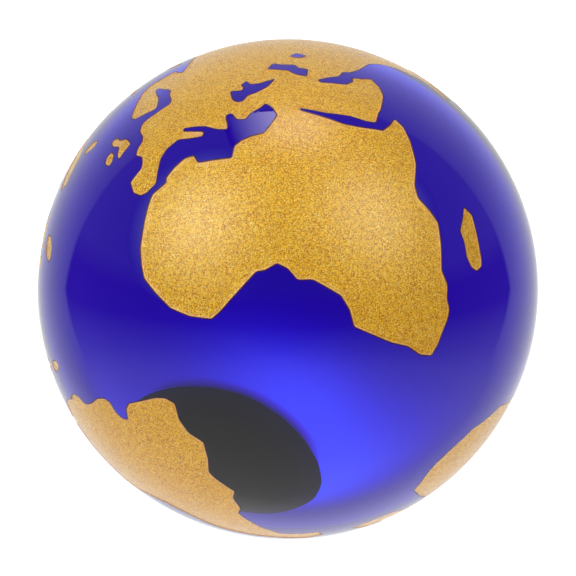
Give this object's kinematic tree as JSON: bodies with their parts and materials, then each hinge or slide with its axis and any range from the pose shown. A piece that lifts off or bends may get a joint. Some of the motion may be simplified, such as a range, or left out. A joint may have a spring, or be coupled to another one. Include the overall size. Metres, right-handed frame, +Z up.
{
  "type": "globe paperweight",
  "caption": "Solid cobalt-blue glass ball carved with a map of the world, the sunk continents and islands filled with gilding, standing on a small flat foot with a black felt pad",
  "frame": {"origin": "middle of the felt pad's underside, the face the piece stands on", "axes": "+Z up through the middle of the ball; -Y is the front; +X is to the right when looking from the front"},
  "size_m": [0.08, 0.0799, 0.0803],
  "materials": {
    "cobalt_glass": "polished",
    "gilding": "granular satin",
    "adhesive_film": "smooth",
    "black_felt": "felted"
  },
  "bodies": {
    "root": {"glass_ball": "cobalt_glass", "pad_adhesive": "adhesive_film", "felt_pad": "black_felt", "afro_eurasia_gilding": "gilding", "americas_gilding": "gilding", "antarctica_gilding": "gilding", "australia_gilding": "gilding", "greenland_gilding": "gilding", "iceland_gilding": "gilding", "great_britain_gilding": "gilding", "ireland_gilding": "gilding", "madagascar_gilding": "gilding", "newfoundland_gilding": "gilding", "hispaniola_gilding": "gilding", "cuba_gilding": "gilding", "baffin_island_gilding": "gilding", "ellesmere_island_gilding": "gilding", "victoria_island_gilding": "gilding", "svalbard_gilding": "gilding", "novaya_zemlya_gilding": "gilding", "severnaya_zemlya_gilding": "gilding", "sakhalin_gilding": "gilding", "hokkaido_gilding": "gilding", "honshu_gilding": "gilding", "kyushu_gilding": "gilding", "taiwan_gilding": "gilding", "hainan_gilding": "gilding", "luzon_gilding": "gilding", "mindanao_gilding": "gilding", "borneo_gilding": "gilding", "sulawesi_gilding": "gilding", "sumatra_gilding": "gilding", "java_gilding": "gilding", "new_guinea_gilding": "gilding", "sri_lanka_gilding": "gilding", "tasmania_gilding": "gilding", "new_zealand_north_gilding": "gilding", "new_zealand_south_gilding": "gilding"}
  },
  "joints": []
}
